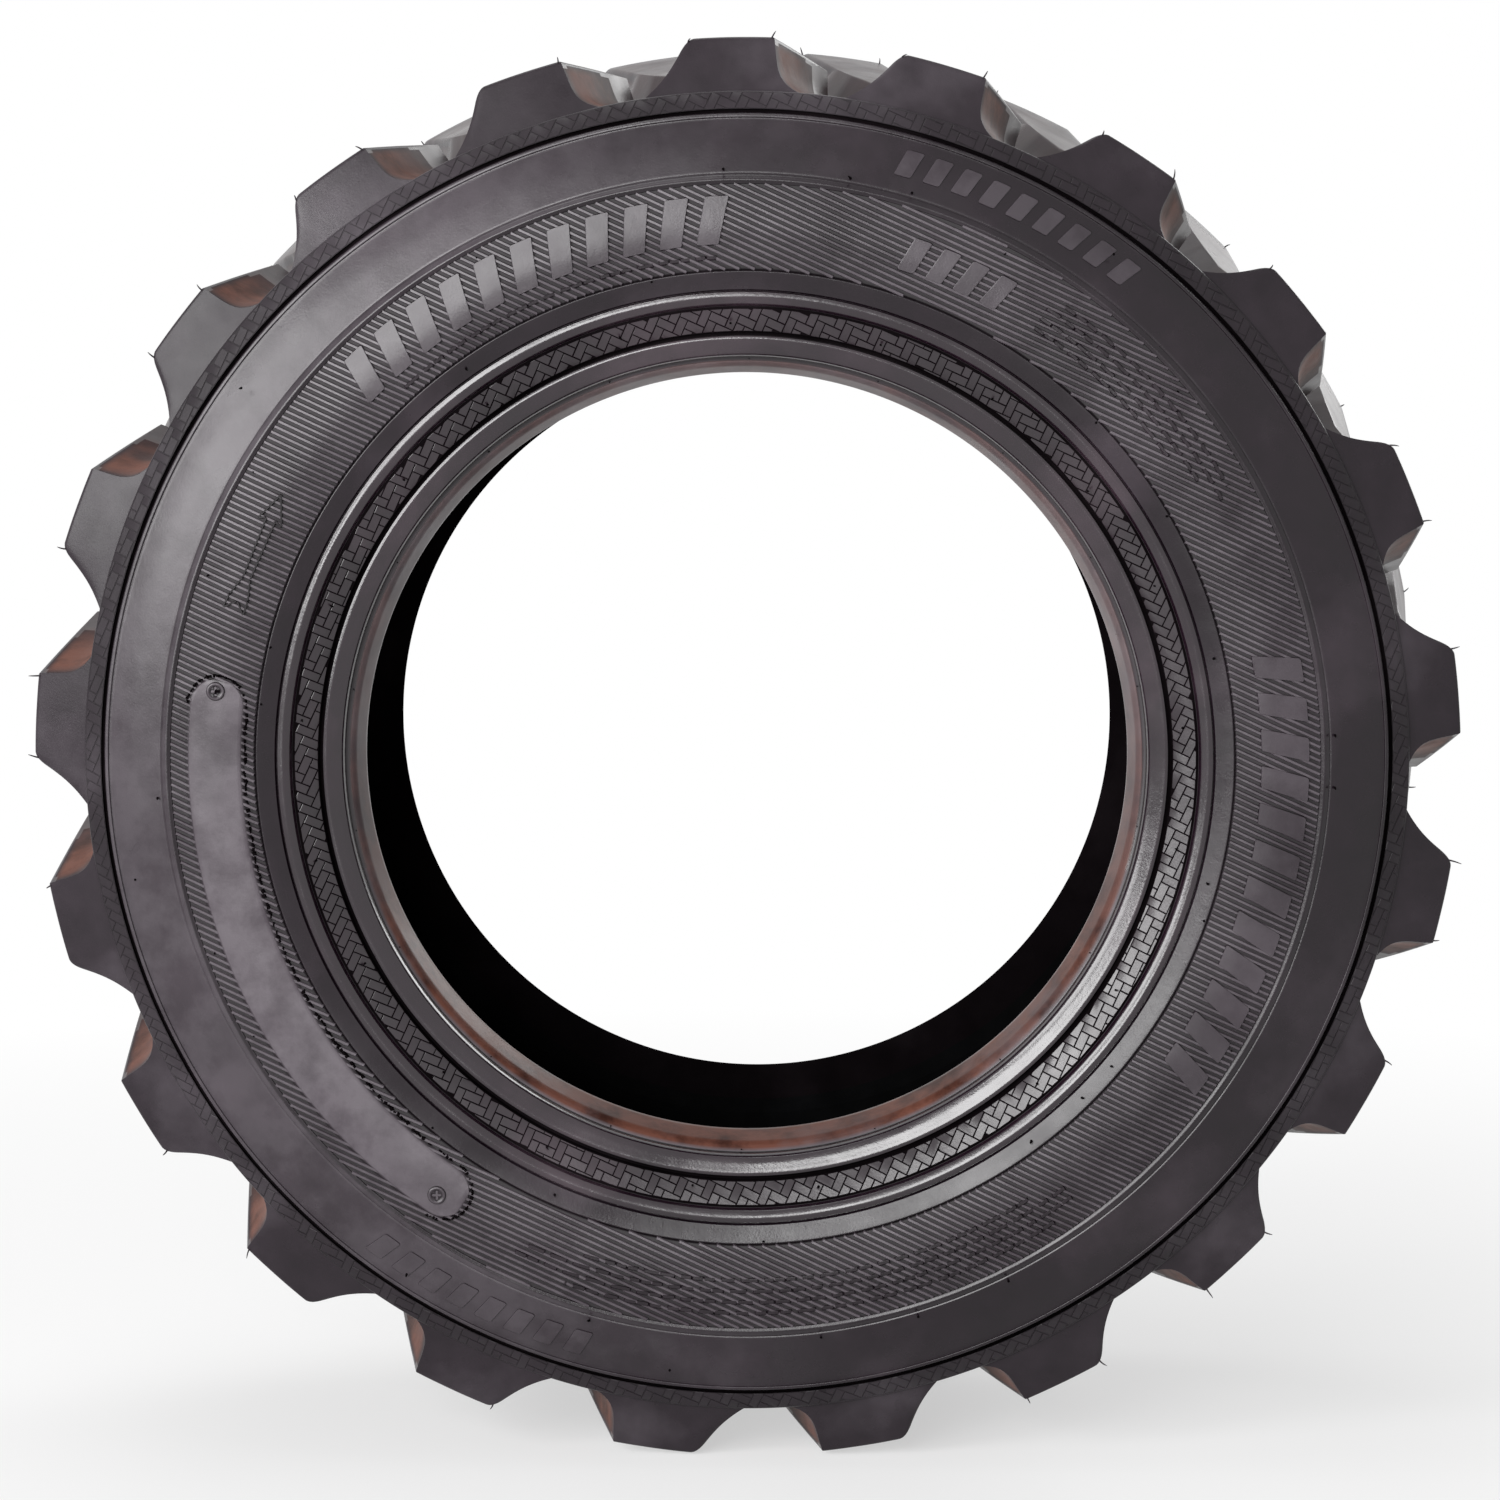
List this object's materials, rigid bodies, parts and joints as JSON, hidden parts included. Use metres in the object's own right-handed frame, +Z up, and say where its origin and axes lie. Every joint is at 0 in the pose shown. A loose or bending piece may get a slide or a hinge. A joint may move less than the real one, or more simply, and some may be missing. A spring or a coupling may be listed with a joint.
{
  "type": "skid steer tyre",
  "caption": "Bias-ply off-road loader tyre with two rows of slanting lugs, ribbed sidewalls and tapered beads for a drop-centre rim.",
  "frame": {"origin": "centre of the wheel, on the axle line midway between the beads", "axes": "+Y along the axle, away from the face of a right-hand wheel that looks out of the machine; +Z up"},
  "size_m": [0.7628, 0.305, 0.763],
  "materials": {
    "tread_rubber": "moulded satin black with mould-release sheen",
    "sidewall_rubber": "moulded satin black, fine ribs and knurling",
    "rim_strip_rubber": "smooth glossy black",
    "liner_rubber": "matt black butyl",
    "soft_gum": "matt black gum",
    "ply_cord": "rubbered nylon cord",
    "breaker_cord": "rubbered nylon cord",
    "bead_fabric": "rubbered square-woven fabric",
    "bead_wire": "bronze-coated drawn wire"
  },
  "bodies": {
    "root": {"inner_liner": "liner_rubber", "body_ply_1": "ply_cord", "body_ply_2": "ply_cord", "body_ply_3": "ply_cord", "body_ply_4": "ply_cord", "breaker_1": "breaker_cord", "breaker_2": "breaker_cord", "cushion_gum": "soft_gum", "tread": "tread_rubber", "right_bead_wires": "bead_wire", "right_bead_rubber": "soft_gum", "right_bead_wrap": "bead_fabric", "right_bead_filler": "soft_gum", "right_chafer": "bead_fabric", "right_rim_strip": "rim_strip_rubber", "right_sidewall": "sidewall_rubber", "left_bead_wires": "bead_wire", "left_bead_rubber": "soft_gum", "left_bead_wrap": "bead_fabric", "left_bead_filler": "soft_gum", "left_chafer": "bead_fabric", "left_rim_strip": "rim_strip_rubber", "left_sidewall": "sidewall_rubber"}
  },
  "joints": []
}
